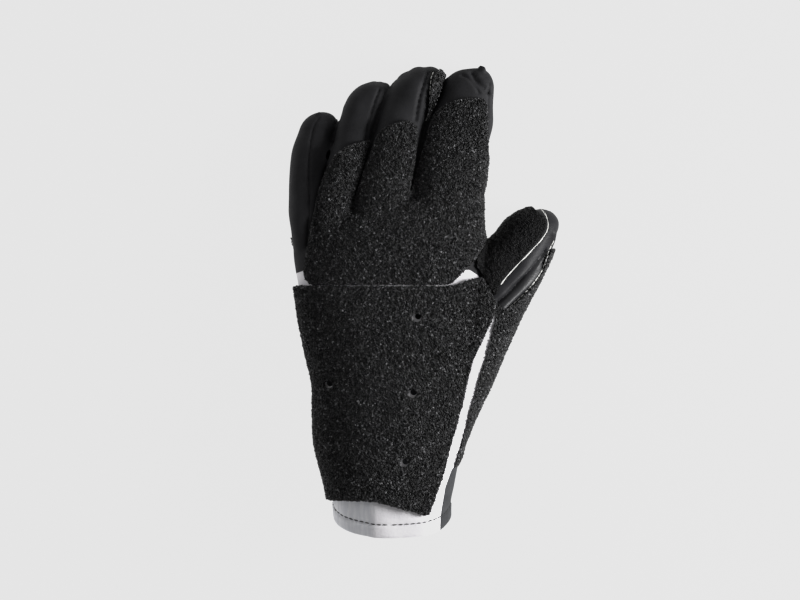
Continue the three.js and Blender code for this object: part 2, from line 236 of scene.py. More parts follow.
def press(mesh, line, depth, width, ripple=0.0, ripple_length=3.4):
    """Push the surface in along a line of points on it, with ripples as sewing leaves."""
    tree = KDTree(len(line))
    for i, (place, _) in enumerate(line):
        tree.insert(place, i)
    tree.balance()
    points = points_of(mesh)
    normals = normals_of(mesh)
    places = np.array([place for place, _ in line])
    reach = 3 * width
    near = np.all((points > places.min(0) - reach) & (points < places.max(0) + reach), axis=1)
    for i in np.nonzero(near)[0]:
        _, step, distance = tree.find(points[i])
        if distance < reach:
            wave = 1 + ripple * math.sin(math.pi * step / ripple_length)
            points[i] -= normals[i] * depth * wave * math.exp(-((distance / width) ** 2))
    set_points(mesh, points)


def unevenness(points, normals, size, height):
    """Points moved in and out by a smooth random amount whose bumps are about one size across."""
    amounts = [noise.noise(Vector(p) / size) for p in points]
    return points + normals * (height * np.array(amounts))[:, None]


SKIN_VOXEL = 0.85
skin = glove_form("skin", 0, SKIN_VOXEL, 5)
skin_tree = tree_of(skin)

SEAM_RIPPLE = 0.15
# Seams of the fingers' side strips, seen from above: each line's corners in mm, its depth and its width
FINGER_SEAMS = (
    (((-66, 30), (-65, 42.7), (-64.4, 56.8), (-65, 79.4), (-62.7, 96.3), (-59.3, 103.1)), 1.0, 0.75),
    (((-32.8, 87.9), (-31.1, 99.2), (-28.2, 110.5), (-24.9, 120.1)), 1.2, 0.8),
    (((-4.5, 102), (-2.3, 116.1), (2.3, 129.1)), 1.3, 1.1),
    (((1.1, 100.9), (2.8, 110.5), (3.4, 118.9), (4, 125.7), (5.1, 129.1)), 0.8, 0.8),
    (((35.6, 85), (36.2, 96.3), (36.4, 113.3), (37.3, 122.3)), 0.8, 0.8),
)
# Where the thumb's smooth strips meet, the roll of leather beside that, the strip along the thumb's
# rubber, and the thumb's full flank
THUMB_GROOVE = (
    (69.4, 27.6),
    (66.9, 24.0),
    (62.1, 18.6),
    (56.9, 13.4),
    (51.6, 8.1),
    (46.3, 2.8),
    (41.6, -0.8),
)
THUMB_ROLL = ((73, 27), (67.5, 19.5), (61.5, 12.8), (55.5, 6.5), (49.5, 0.5), (44.5, -4))
THUMB_STRIP = ((71.5, 39), (66, 30.5), (60.5, 24), (54.5, 18), (48.5, 11.8), (44, 7))
THUMB_SWELL = ((73.2, 38), (73.0, 34), (71.9, 30), (70.2, 26.5))
THUMB_LINES = (
    (THUMB_GROOVE, 2.3, 1.2),
    (THUMB_ROLL, -1.3, 1.8),
    (THUMB_STRIP, -0.2, 2.4),
    (THUMB_SWELL, -1.3, 2.2),
)
# Lines with their heights along sides and tips that swell out (a negative depth) or sink in
FLANK_LINES = (
    (((13.2, 124, 9), (10.6, 119, 10), (9.2, 115.5, 10), (8.7, 112, 10)), -1.7, 3.2),
    (((-17.5, 122.5, 12), (-12, 127.5, 12), (-4, 130.5, 12), (4, 131, 12)), -0.9, 4.0),
    (((-28, 122.3, 12), (-25, 122, 12), (-22, 121, 12)), -1.3, 3.5),
    (((18, 126.5, 11), (21, 128.2, 11), (24, 129.5, 11)), 1.1, 3.5),
    (((38, 125.5, 11), (38.5, 123, 11)), 0.8, 2.5),
    (((67, 51, 12), (69, 50.4, 12), (71, 49.4, 12)), -0.8, 2.6),
)
# The little finger's full side and pinched tip, and the crushed end of the index finger: folds across
# it and the corner that stands out beside them
LITTLE_SWELL = ((-63.4, 48), (-61.6, 58), (-59.4, 68), (-55.6, 78.5), (-52.4, 85))
INDEX_FOLD = ((27.5, 129), (29.5, 124.5), (33, 121), (37, 118))
INDEX_CROSS_FOLD = ((21.5, 127.5), (25.5, 125.5), (29, 121.5), (31, 117.5))
INDEX_SIDE_FOLD = ((30.5, 126.5), (34.2, 126), (37.2, 123.5))
INDEX_CORNER = ((31.6, 130.6), (33.4, 129.6))
LITTLE_CORNER = ((-60.4, 105.0), (-59.2, 105.4))
FINGER_LINES = (
    (LITTLE_SWELL, -1.5, 2.6),
    (INDEX_FOLD, 2.2, 1.7),
    (INDEX_CROSS_FOLD, 1.1, 1.0),
    (INDEX_SIDE_FOLD, 0.8, 1.1),
    (INDEX_CORNER, -2.8, 1.2),
    (LITTLE_CORNER, -1.3, 0.9),
)

for corners, depth, width in FINGER_SEAMS:
    press(skin.data, drape(skin_tree, corners), depth, width, ripple=SEAM_RIPPLE)
for corners, depth, width in THUMB_LINES:
    press(skin.data, drape(skin_tree, corners), depth, width)
for corners, depth, width in FLANK_LINES:
    press(skin.data, [(Vector(corner), None) for corner in corners], depth, width)
for corners, depth, width in FINGER_LINES:
    press(skin.data, drape(skin_tree, corners), depth, width)

# Soft leather is never quite smooth: low uneven swells all over
SLACK_SIZE = 13
SLACK_HEIGHT = 0.7
set_points(skin.data, unevenness(points_of(skin.data), normals_of(skin.data), SLACK_SIZE, SLACK_HEIGHT))


def copy_of(piece, name):
    """A new object with its own copy of a piece's mesh."""
    made = bpy.data.objects.new(name, piece.data.copy())
    bpy.context.scene.collection.objects.link(made)
    return made


def remove(piece):
    """Take a helper object and its mesh out of the file."""
    mesh = piece.data
    bpy.data.objects.remove(piece)
    bpy.data.meshes.remove(mesh)


ROUNDING_STEPS = (0, 0.2, 0.4, 0.6, 0.8, 1)
# A rounding starts at most one part in this many of a side from its corner
SIDE_PARTS = 2.1
# Ranges that reach past the whole glove
ACROSS = (-150, 150)
ALONG = (-FAR, FAR)
UPRIGHT = (-60, 120)


def rounded(corners):
    """A plan outline with its corners rounded: each is x, y and how far from it the curve starts."""
    outline = []
    for i, corner in enumerate(corners):
        here = Vector(corner[:2])
        radius = corner[2] if len(corner) > 2 else 0
        if not radius:
            outline.append(here)
            continue
        before = Vector(corners[i - 1][:2]) - here
        after = Vector(corners[(i + 1) % len(corners)][:2]) - here
        enter = here + before.normalized() * min(radius, before.length / SIDE_PARTS)
        leave = here + after.normalized() * min(radius, after.length / SIDE_PARTS)
        for t in ROUNDING_STEPS:
            outline.append(enter.lerp(here, t).lerp(here.lerp(leave, t), t))
    return outline


def prism(corners, low=UPRIGHT[0], high=UPRIGHT[1]):
    """An upright block over a plan outline, in mm."""
    bm = bmesh.new()
    verts = [bm.verts.new((x, y, low)) for x, y in rounded(corners)]
    raised = bmesh.ops.extrude_face_region(bm, geom=[bm.faces.new(verts)])["geom"]
    top = [v for v in raised if isinstance(v, bmesh.types.BMVert)]
    bmesh.ops.translate(bm, vec=(0, 0, high - low), verts=top)
    bmesh.ops.recalc_face_normals(bm, faces=bm.faces)
    return new_object("prism", bm)


def block(x, y, z):
    """All that lies within three ranges, in mm."""
    return prism(((x[0], y[0]), (x[1], y[0]), (x[1], y[1]), (x[0], y[1])), z[0], z[1])


def cut(piece, operation, tool, keep_tool=False):
    """Cut a piece by a closed tool, and keep what is inside it or what is outside."""
    apply_modifier(piece, "BOOLEAN", operation=operation, object=tool, solver="MANIFOLD")
    if not keep_tool:
        remove(tool)
    return piece


def largest_part(piece):
    """Drop the slivers that a cut leaves beside the piece."""
    bm = bmesh.new()
    bm.from_mesh(piece.data)
    left = set(bm.verts)
    parts = []
    while left:
        part = set()
        edge = {left.pop()}
        while edge:
            part |= edge
            edge = {e.other_vert(v) for v in edge for e in v.link_edges} & left
            left -= edge
        parts.append(part)
    keep = max(parts, key=len)
    bmesh.ops.delete(bm, geom=[v for v in bm.verts if v not in keep], context="VERTS")
    bm.to_mesh(piece.data)
    bm.free()
    return piece


# The cuff's rim, which slopes out over the back of the wrist
RIM_Y = -121
RIM_MIDDLE_Z = 24
RIM_SLOPE = 0.48
RIM_CENTRE_X = -18
RIM_STEPS = 720
RIM_BLOCK_TOP = 100
RIM_BLOCK_END = -260
# Two sewn seams as plan lines in mm: over the knuckles where the white leather starts, and round the thumb
SEAM_GAP = 0.1
KNUCKLE_EDGE = ((-90, 9), (-68, 16.8), (25.5, 17.2), (33.6, 12), (40.6, -1.4))
THUMB_SEAM = (
    (60, 80),
    (44.5, 52),
    (37.6, 41),
    (34.4, 31.6),
    (29.4, 24),
    (28.4, 17.5),
    (32, 11),
    (40.6, -2),
    (46, -14),
    (70, -32),
)


def past_rim():
    """All that the rim cuts off: what lies past a bent line in the side view."""
    bm = bmesh.new()
    corners = (
        (RIM_Y, UPRIGHT[0]),
        (RIM_Y, RIM_MIDDLE_Z),
        (RIM_Y - RIM_SLOPE * (RIM_BLOCK_TOP - RIM_MIDDLE_Z), RIM_BLOCK_TOP),
        (RIM_BLOCK_END, RIM_BLOCK_TOP),
        (RIM_BLOCK_END, UPRIGHT[0]),
    )
    verts = [bm.verts.new((ACROSS[0], y, z)) for y, z in corners]
    raised = bmesh.ops.extrude_face_region(bm, geom=[bm.faces.new(verts)])["geom"]
    far_side = [v for v in raised if isinstance(v, bmesh.types.BMVert)]
    bmesh.ops.translate(bm, vec=(ACROSS[1] - ACROSS[0], 0, 0), verts=far_side)
    bmesh.ops.recalc_face_normals(bm, faces=bm.faces)
    return new_object("past_rim", bm)


def thumb_side(shift):
    """The plan region on the thumb's side of its seam."""
    far = ((FAR, THUMB_SEAM[-1][1]), (FAR, THUMB_SEAM[0][1]))
    return prism([(x + shift, y) for x, y in THUMB_SEAM] + list(far))


def rim_line(tree, inset):
    """Points round the cuff at an inset from its rim, with the way the leather faces there."""
    line = []
    for step in range(RIM_STEPS + 1):
        angle = 2 * math.pi * step / RIM_STEPS
        up = math.cos(angle)
        lean = -RIM_SLOPE * up if up > 0 else 0
        start = Vector((RIM_CENTRE_X, RIM_Y + inset, RIM_MIDDLE_Z)) * MM
        place, normal, _, _ = tree.ray_cast(start, Vector((math.sin(angle), lean, up)).normalized())
        line.append((place / MM, normal))
    return line


SHARP_EDGE = 50


def finish_piece(piece, material):
    """Smooth shading with its cut edges kept, a material, and a place on the glove's one body."""
    piece.data.materials.clear()
    piece.data.materials.append(material)
    piece.data.shade_smooth()
    piece.data.set_sharp_from_angle(angle=math.radians(SHARP_EDGE))
    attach(piece, "root")
    return piece


# The hem: the leather is turned in once along the rim, so the cuff is thicker there up to the stitches
HEM = 7.6
HEM_THICKER = 0.5
HEM_FOLD = 1.5
HEM_FOLD_PAST_STITCHES = 0.5
HEM_EDGE = 1.4
HEM_EDGE_ROUNDING = 0.7
STITCH_DENT = 0.55
STITCH_DENT_WIDTH = 0.7
HEM_RIPPLE = 0.3
points = points_of(skin.data)
rim_distance = points[:, 1] - (RIM_Y - RIM_SLOPE * np.maximum(points[:, 2] - RIM_MIDDLE_Z, 0))
thicker = np.clip((HEM + HEM_FOLD_PAST_STITCHES - rim_distance) / HEM_FOLD, 0, 1)
round_off = np.clip(1 - rim_distance / HEM_EDGE, 0, 1) ** 2
points += normals_of(skin.data) * (HEM_THICKER * thicker - HEM_EDGE_ROUNDING * round_off)[:, None]
set_points(skin.data, points)
hem_line = rim_line(tree_of(skin), HEM)
press(skin.data, hem_line, STITCH_DENT, STITCH_DENT_WIDTH, ripple=HEM_RIPPLE)

# The crease over the little finger's side of the rim, where the cuff has folded in use
CREASE_X = -27
CREASE_WIDTH = 7
CREASE_Y = -104
CREASE_LENGTH = 9
CREASE_Z = 30
CREASE_RISE = 10
CREASE_DEPTH = 1.0
points = points_of(skin.data)
past = np.clip((CREASE_X - points[:, 0]) / CREASE_WIDTH, 0, 1)
low = np.clip((CREASE_Y - points[:, 1]) / CREASE_LENGTH, 0, 1)
above = np.clip((points[:, 2] - CREASE_Z) / CREASE_RISE, 0, 1)
points[:, 2] -= CREASE_DEPTH * past**2 * (3 - 2 * past) * low * above
set_points(skin.data, points)

# The inner face follows every seam and fold of the outer one
LINING_VOXEL = 1.5
lining = copy_of(skin, "lining")
set_points(lining.data, points_of(lining.data) - LEATHER * normals_of(lining.data))
apply_modifier(lining, "REMESH", mode="VOXEL", voxel_size=LINING_VOXEL * MM)
apply_modifier(lining, "SMOOTH", factor=0.5, iterations=1)
wall = copy_of(skin, "wall")
cut(wall, "DIFFERENCE", lining)
cut(wall, "DIFFERENCE", past_rim())
skin_tree = tree_of(skin)


def linear(hex_colour):
    """A colour given as sRGB hex, turned to linear light."""
    channels = [int(hex_colour[i : i + 2], 16) / 255 for i in (1, 3, 5)]
    return [c / 12.92 if c <= 0.04045 else ((c + 0.055) / 1.055) ** 2.4 for c in channels] + [1]


def add_node(tree, kind, settings=None, values=None, links=None):
    """Add a node with its settings, the values of its inputs, and what feeds its other inputs."""
    made = tree.nodes.new(kind)
    for name, value in (settings or {}).items():
        setattr(made, name, value)
    for name, value in (values or {}).items():
        made.inputs[name].default_value = value
    for name, socket in (links or {}).items():
        tree.links.new(socket, made.inputs[name])
    return made


def new_material(name):
    """An empty node material. Gives it, its node tree and its Object coordinates."""
    material = bpy.data.materials.new(name)
    material.use_nodes = True
    tree = material.node_tree
    tree.nodes.clear()
    return material, tree, add_node(tree, "ShaderNodeTexCoord").outputs["Object"]


def ramp(tree, factor, stops):
    """A colour ramp through the stops, each a position and an sRGB hex colour."""
    made = add_node(tree, "ShaderNodeValToRGB", links={"Fac": factor})
    elements = made.color_ramp.elements
    for i, (position, colour) in enumerate(stops):
        element = elements[i] if i < len(elements) else elements.new(position)
        element.position = position
        element.color = linear(colour)
    return made.outputs["Color"]


def per_mm(size):
    """The texture scale whose pattern repeats about once in that many millimetres."""
    return 1 / (size * MM)


# Black goat leather, dyed through and finished matt: a fine pebbled grain, and wrinkles drawn out along
# the fingers' width, which break up the soft light on the folds. Both are drawn a little coarser than real.
black_leather, tree, place = new_material("black_goat_leather_matt")
blotches = add_node(
    tree,
    "ShaderNodeTexNoise",
    values={"Scale": per_mm(11), "Detail": 4},
    links={"Vector": place},
)
pebbles = add_node(
    tree,
    "ShaderNodeTexVoronoi",
    values={"Scale": per_mm(0.95)},
    links={"Vector": place},
)
pores = add_node(
    tree,
    "ShaderNodeTexNoise",
    values={"Scale": per_mm(0.8), "Detail": 3},
    links={"Vector": place},
)
colour = ramp(tree, blotches.outputs["Fac"], ((0.3, "#1a1a1c"), (0.7, "#242426")))
rough = add_node(
    tree,
    "ShaderNodeMapRange",
    values={"To Min": 0.66, "To Max": 0.85},
    links={"Value": pores.outputs["Fac"]},
)
grain = add_node(
    tree,
    "ShaderNodeBump",
    values={"Strength": 0.35, "Distance": 0.12 * MM},
    links={"Height": pebbles.outputs["Distance"]},
)
fine = add_node(
    tree,
    "ShaderNodeBump",
    values={"Strength": 0.25, "Distance": 0.1 * MM},
    links={"Height": pores.outputs["Fac"], "Normal": grain.outputs["Normal"]},
)
across = add_node(tree, "ShaderNodeMapping", values={"Scale": (0.22, 1, 0.5)}, links={"Vector": place})
wrinkles = add_node(
    tree,
    "ShaderNodeTexNoise",
    values={"Scale": per_mm(2.4), "Detail": 3},
    links={"Vector": across.outputs["Vector"]},
)
wrinkled = add_node(
    tree,
    "ShaderNodeBump",
    values={"Strength": 0.5, "Distance": 0.5 * MM},
    links={"Height": wrinkles.outputs["Fac"], "Normal": fine.outputs["Normal"]},
)
shader = add_node(
    tree,
    "ShaderNodeBsdfPrincipled",
    values={"IOR": 1.5, "Specular IOR Level": 0.2},
    links={"Base Color": colour, "Roughness": rough.outputs["Result"], "Normal": wrinkled.outputs["Normal"]},
)
add_node(tree, "ShaderNodeOutputMaterial", links={"Surface": shader.outputs["BSDF"]})

hand = copy_of(wall, "hand_and_fingers")
cut(hand, "DIFFERENCE", thumb_side(0))
CUFF = KNUCKLE_EDGE[:4] + ((60, -2), (60, -160), (-90, -160))
cut(hand, "DIFFERENCE", prism([(x, y + SEAM_GAP) for x, y in CUFF]))
largest_part(hand)
finish_piece(hand, black_leather)
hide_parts("hand_leather", "little_finger", "ring_finger", "middle_finger", "index_finger")

# The thumb's stall, sewn into the hand along a curved seam. Its leather is the same, but polished by
# handling on its outer side, so its folds catch the light there, while the strip along the thumb's
# rubber stays dull.
THUMB_ACROSS = (0.73, -0.68, 0)
POLISH_START = 30
POLISH_FULL = 33
thumb_leather = black_leather.copy()
thumb_leather.name = "black_goat_leather_polished"
tree = thumb_leather.node_tree
nodes = {node.type: node for node in tree.nodes}
nodes["MAP_RANGE"].inputs["To Min"].default_value = 0.38
nodes["MAP_RANGE"].inputs["To Max"].default_value = 0.56
turned = add_node(
    tree,
    "ShaderNodeVectorMath",
    settings={"operation": "DOT_PRODUCT"},
    values={1: THUMB_ACROSS},
    links={0: nodes["TEX_COORD"].outputs["Object"]},
)
handled = add_node(
    tree,
    "ShaderNodeMapRange",
    values={"From Min": POLISH_START * MM, "From Max": POLISH_FULL * MM, "To Min": 0.1, "To Max": 0.36},
    links={"Value": turned.outputs["Value"]},
)
nodes["BSDF_PRINCIPLED"].inputs["Specular IOR Level"].default_value = 0.25
tree.links.new(handled.outputs["Result"], nodes["BSDF_PRINCIPLED"].inputs["Specular IOR Level"])

thumb = copy_of(wall, "thumb")
cut(thumb, "INTERSECT", thumb_side(SEAM_GAP))
largest_part(thumb)
finish_piece(thumb, thumb_leather)
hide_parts("thumb_stall")

# The cuff's white back: full-grain white leather over the back of hand and wrist, sewn to the hand below
# the knuckles and to the stretch piece on the thumb's side, and turned in at the rim. Four vent holes go
# through it and its rubber. They are smaller in the leather, whose rim shows in the rubber's holes.
CUFF_BACK = KNUCKLE_EDGE + (
    (43.2, -9.5),
    (41.6, -17),
    (37.6, -28),
    (28.0, -62),
    (18.6, -91.5),
    (15.4, -95),
    (11.8, -105),
    (10.2, -114),
    (9.0, -122),
    (8.6, -150),
    (-90, -150),
)
CUFF_SEAM = 12
VENT_HOLES = ((-4.2, -9.6), (-6.8, -52), (-11.3, -90.7), (-53.7, -47.2))
HOLE_RADIUS = 2.6
HOLE_OFFSET = 0.8
DRILL_LENGTH = 160


def cuff_back_region(grow):
    """Where the white leather is. Its seam is low on the little finger's side."""
    line = [(x + grow, y) for x, y in CUFF_BACK]
    region = prism(line, RIM_MIDDLE_Z - grow)
    low = prism(line, CUFF_SEAM - grow)
    cut(low, "INTERSECT", block((ACROSS[0], RIM_CENTRE_X), ALONG, UPRIGHT))
    return cut(region, "UNION", low)


def drill(x, y, radius):
    """An upright punch above the glove's hollow."""
    bm = bmesh.new()
    made = bmesh.ops.create_cone(
        bm, cap_ends=True, segments=24, radius1=radius, radius2=radius, depth=DRILL_LENGTH
    )
    bmesh.ops.translate(bm, vec=(x, y, DRILL_LENGTH / 2 + RIM_MIDDLE_Z), verts=made["verts"])
    return new_object("drill", bm)


# White leather with a smooth pigmented finish, which handling has left blotched and soiled in small marks,
# and with painted shade over one corner
white_leather, tree, place = new_material("white_full_grain_leather_soiled_and_painted_shade")
blotches = add_node(
    tree,
    "ShaderNodeTexNoise",
    values={"Scale": per_mm(9), "Detail": 5},
    links={"Vector": place},
)
pebbles = add_node(
    tree,
    "ShaderNodeTexVoronoi",
    values={"Scale": per_mm(1.1)},
    links={"Vector": place},
)
marks = add_node(
    tree,
    "ShaderNodeTexNoise",
    values={"Scale": per_mm(2.6), "Detail": 6, "Roughness": 0.7, "Distortion": 0.6},
    links={"Vector": place},
)
clean = ramp(tree, blotches.outputs["Fac"], ((0.3, "#dcdade"), (0.65, "#e9e7ea")))
soil = ramp(tree, marks.outputs["Fac"], ((0.62, "#000000"), (0.72, "#c4c4c4")))
soiled = add_node(
    tree,
    "ShaderNodeMix",
    settings={"data_type": "RGBA"},
    values={"B": linear("#9a989a")},
    links={"Factor": soil, "A": clean},
)
# Painted shade: the corner of the cuff beyond the crease is darkened to a bluish grey in streaks, standing
# for the shade on the side that turns away from the lamp
PAINTED_SHADE_X = -31
PAINTED_SHADE_Y = (-100, -108)
parts = add_node(tree, "ShaderNodeSeparateXYZ", links={"Vector": place})
# How strong the painted shade is: none at the crease, growing outwards from it, and only near the rim
beside = add_node(
    tree,
    "ShaderNodeMapRange",
    values={"From Min": CREASE_X * MM, "From Max": PAINTED_SHADE_X * MM, "To Max": 0.42},
    links={"Value": parts.outputs["X"]},
)
painted_shade_toward_rim = add_node(
    tree,
    "ShaderNodeMapRange",
    values={"From Min": PAINTED_SHADE_Y[0] * MM, "From Max": PAINTED_SHADE_Y[1] * MM},
    links={"Value": parts.outputs["Y"]},
)
corner = add_node(
    tree,
    "ShaderNodeMath",
    settings={"operation": "MULTIPLY"},
    links={0: beside.outputs["Result"], 1: painted_shade_toward_rim.outputs["Result"]},
)
shade_streak_place = add_node(tree, "ShaderNodeMapping", values={"Scale": (1, 0.18, 1)}, links={"Vector": place})
shade_streaks = add_node(
    tree,
    "ShaderNodeTexNoise",
    values={"Scale": per_mm(2.2), "Detail": 4},
    links={"Vector": shade_streak_place.outputs["Vector"]},
)
dull = ramp(tree, shade_streaks.outputs["Fac"], ((0.35, "#e9ecf0"), (0.6, "#bfc6cf")))
# The leather's own colour and soil marks, with the painted shade mixed over the corner
colour = add_node(
    tree,
    "ShaderNodeMix",
    settings={"data_type": "RGBA"},
    links={"Factor": corner.outputs["Value"], "A": soiled.outputs["Result"], "B": dull},
)
grain = add_node(
    tree,
    "ShaderNodeBump",
    values={"Strength": 0.4, "Distance": 0.12 * MM},
    links={"Height": pebbles.outputs["Distance"]},
)
folds = add_node(
    tree,
    "ShaderNodeBump",
    values={"Strength": 0.35, "Distance": 0.4 * MM},
    links={"Height": marks.outputs["Fac"], "Normal": grain.outputs["Normal"]},
)
shader = add_node(
    tree,
    "ShaderNodeBsdfPrincipled",
    values={"IOR": 1.5, "Roughness": 0.55, "Specular IOR Level": 0.4},
    links={"Base Color": colour.outputs["Result"], "Normal": folds.outputs["Normal"]},
)
add_node(tree, "ShaderNodeOutputMaterial", links={"Surface": shader.outputs["BSDF"]})

cuff = copy_of(wall, "white_cuff")
cut(cuff, "DIFFERENCE", thumb_side(0))
cut(cuff, "INTERSECT", cuff_back_region(0))
largest_part(cuff)
for x, y in VENT_HOLES:
    cut(cuff, "DIFFERENCE", drill(x + HOLE_OFFSET, y + HOLE_OFFSET, HOLE_RADIUS - HOLE_OFFSET))
finish_piece(cuff, white_leather)
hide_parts("cuff_back")

# The cuff's grey piece: a soft stretch fabric round the thumb's side and under the wrist, sewn to the white
# leather along both its long edges, which lets the cuff open wider.
CUFF_END_Y = 8.7

# Dark grey jersey knitted from fine nylon: dull, with ribs along the arm that are drawn wide to show
grey_stretch, tree, place = new_material("grey_stretch_jersey")
knit = add_node(
    tree,
    "ShaderNodeTexWave",
    settings={"bands_direction": "X"},
    values={"Scale": per_mm(1.0) / 3.2, "Distortion": 0.6, "Detail": 2},
    links={"Vector": place},
)
blotches = add_node(
    tree,
    "ShaderNodeTexNoise",
    values={"Scale": per_mm(6), "Detail": 4},
    links={"Vector": place},
)
colour = ramp(tree, blotches.outputs["Fac"], ((0.3, "#2c2d2f"), (0.7, "#37383a")))
ribs = add_node(
    tree,
    "ShaderNodeBump",
    values={"Strength": 0.4, "Distance": 0.15 * MM},
    links={"Height": knit.outputs["Fac"]},
)
shader = add_node(
    tree,
    "ShaderNodeBsdfPrincipled",
    values={"IOR": 1.5, "Roughness": 0.85, "Specular IOR Level": 0.15, "Sheen Weight": 0.05},
    links={"Base Color": colour, "Normal": ribs.outputs["Normal"]},
)
add_node(tree, "ShaderNodeOutputMaterial", links={"Surface": shader.outputs["BSDF"]})

stretch = copy_of(wall, "grey_cuff")
cut(stretch, "DIFFERENCE", thumb_side(0))
cut(stretch, "INTERSECT", prism([(x, min(y, CUFF_END_Y)) for x, y in CUFF]))
cut(stretch, "DIFFERENCE", cuff_back_region(SEAM_GAP))
largest_part(stretch)
finish_piece(stretch, grey_stretch)
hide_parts("cuff_palm")
remove(wall)

# The rubber sheets: black rubber granules bonded on a backing, cut to shape, then glued and sewn on the
# leather. Each is cut out of the layer between two skins, its edges are rounded over, and its face is
# raised in grains. Their plan outlines are in mm: x, y, and how far from a corner its rounding starts.
KNUCKLE_SHEET = (
    (-68.0, 15.6, 2),
    (-65.0, 8.9, 4),
    (14.8, 8.9, 3),
    (33.5, 27.5, 5),
    (37.0, 40, 8),
    (38.0, 60, 10),
    (37.6, 76, 6),
    (35.8, 88, 6),
    (35.9, 108, 4),
    (34.2, 114.5, 3),
    (18.0, 113.8, 6),
    (5.2, 106, 6),
    (0.0, 88, 8),
    (-7.0, 61.3),
    (-8.4, 61.3),
    (-4.2, 85, 6),
    (-3.8, 98.5, 3),
    (-9.0, 101.6, 4),
    (-22.4, 97.4, 4),
    (-27.6, 91.2, 4),
    (-40.0, 54.4),
    (-41.0, 54.6),
    (-30.6, 90.4, 1),
    (-41.0, 88, 5),
    (-51.6, 81, 5),
    (-57.4, 68, 8),
    (-62.9, 48, 10),
)
BACK_SHEET = (
    (-90, 7.8),
    (15, 7.8, 6),
    (32.6, 13.2, 1.5),
    (40.9, -1.8, 3),
    (38.7, -9.5, 3),
    (35.0, -17.5, 4),
    (30.8, -26.8, 4),
    (26.8, -34.9, 6),
    (21.9, -56, 10),
    (9.9, -100, 14),
    (2.4, -120.9, 3),
    (-29, -111.2, 16),
    (-53, -112.2, 2),
    (-58, -110.5),
    (-90, -110),
)
THUMB_SHEET = (
    (40.4, 1.6, 3),
    (33.4, 13.8, 2),
    (29.8, 18.6, 2),
    (28, 60),
    (55, 60),
    (62.5, 51.4, 6),
    (69.4, 47, 7),
    (68.6, 38.6, 7),
    (58.9, 28, 8),
    (43.8, 12.4, 5),
)
PALM_SHEET_SIDE = (
    (18.0, -94.6),
    (22.7, -79, 4),
    (33.3, -37, 6),
    (37.1, -24, 4),
    (40.3, -10, 1),
    (40.6, -1.2),
    (42.4, -2.2),
    (46.3, -6.2, 4),
    (58.5, 4.4, 6),
    (67.6, 16.6, 6),
    (70.4, 24.5, 4),
    (71.4, 26.5, 2),
    (72.8, 29.5, 2),
    (90, 31),
    (90, -94.6),
)
MIDDLE_SHEET_SIDE = ((2.0, 101), (3.6, 118, 6), (5.6, 127, 4), (9.2, 131.8), (14, 125), (40, 110), (40, 101))
# How far off the leather the sheets start, how far off it the pad's face is, and the sizes of the remeshing
GAP = 0.3
PAD_FACE = 3.1
FACE_VOXEL = 1.0
SHEET_VOXEL = 0.5
PALM_VOXEL = 0.66
# The heights from which the sheets on the back go up, and up to which the ones below come up the sides
BACK_BOTTOM = 13.5
FINGER_SHEET_TOP = 5
TIP_SHEET_TOP = 4
PALM_SHEET_TOP = 11
WRIST_SHEET_TOP = 31
TIP_SHEET_END = {"little": 103.5, "ring": 120, "middle": 131, "index": 140}
# How far from a sewn-down edge a sheet is pared, and the share of its thickness that is left there
PARED_WIDTH = 11
PARED_SHARE = 0.4


def rubber_material(name, stops, shine):
    """Crumbs of ground rubber bonded on a sheet: dull and dark, some crumbs glossier, and a few pale crumbs
    that are partly paler rubber and partly painted glints.
    """
    material, tree, place = new_material(name)
    grains = add_node(tree, "ShaderNodeTexVoronoi", values={"Scale": per_mm(0.85)}, links={"Vector": place})
    crumbs = add_node(
        tree,
        "ShaderNodeTexNoise",
        values={"Scale": per_mm(1.1), "Detail": 4, "Roughness": 0.75},
        links={"Vector": place},
    )
    shade = add_node(tree, "ShaderNodeSeparateColor", links={"Color": grains.outputs["Color"]})
    colour = ramp(tree, shade.outputs["Red"], stops)
    domes = add_node(
        tree,
        "ShaderNodeBump",
        settings={"invert": True},
        values={"Strength": 1.0, "Distance": 0.7 * MM},
        links={"Height": grains.outputs["Distance"]},
    )
    rubble = add_node(
        tree,
        "ShaderNodeBump",
        values={"Strength": 1.0, "Distance": 0.7 * MM},
        links={"Height": crumbs.outputs["Fac"], "Normal": domes.outputs["Normal"]},
    )
    gloss = add_node(
        tree,
        "ShaderNodeMapRange",
        values={"To Min": 0.4, "To Max": 0.7},
        links={"Value": shade.outputs["Green"]},
    )
    shader = add_node(
        tree,
        "ShaderNodeBsdfPrincipled",
        values={"IOR": 1.52, "Specular IOR Level": shine},
        links={
            "Base Color": colour,
            "Roughness": gloss.outputs["Result"],
            "Normal": rubble.outputs["Normal"],
        },
    )
    add_node(tree, "ShaderNodeOutputMaterial", links={"Surface": shader.outputs["BSDF"]})
    return material


# The palest crumbs in this ramp are partly paler rubber and partly painted glints
rubber = rubber_material(
    "black_granulated_rubber",
    ((0.0, "#050506"), (0.5, "#151516"), (0.8, "#272728"), (0.95, "#444446"), (1.0, "#808082")),
    0.35,
)
worn_rubber = rubber_material(
    "black_granulated_rubber_pressed_flat",
    ((0.0, "#010102"), (0.7, "#040405"), (0.95, "#0b0b0c"), (1.0, "#1c1c1d")),
    0.15,
)

# The raised face: crumbs of about a voxel, lumps of a few crumbs, and the sheet's own slow swells
draws = np.random.default_rng(11)
GRAIN_HEIGHT = 0.34
PRESSED_GRAIN_HEIGHT = 0.1
GRAIN_LIMIT = 1.8
LUMP_SIZE = 1.9
LUMP_HEIGHT = 0.4
SWELL_SIZE = 16
SWELL_HEIGHT = 0.6
JITTER = 0.22
# Heights over the leather: grains start at the first, points are jittered past the second, and what is
# under the third is hidden, so it is thinned out by the share after it
GRAINS_FROM = 0.6
JITTER_FROM = 1
HIDDEN_BELOW = 0.75
HIDDEN_THINNED = 0.92


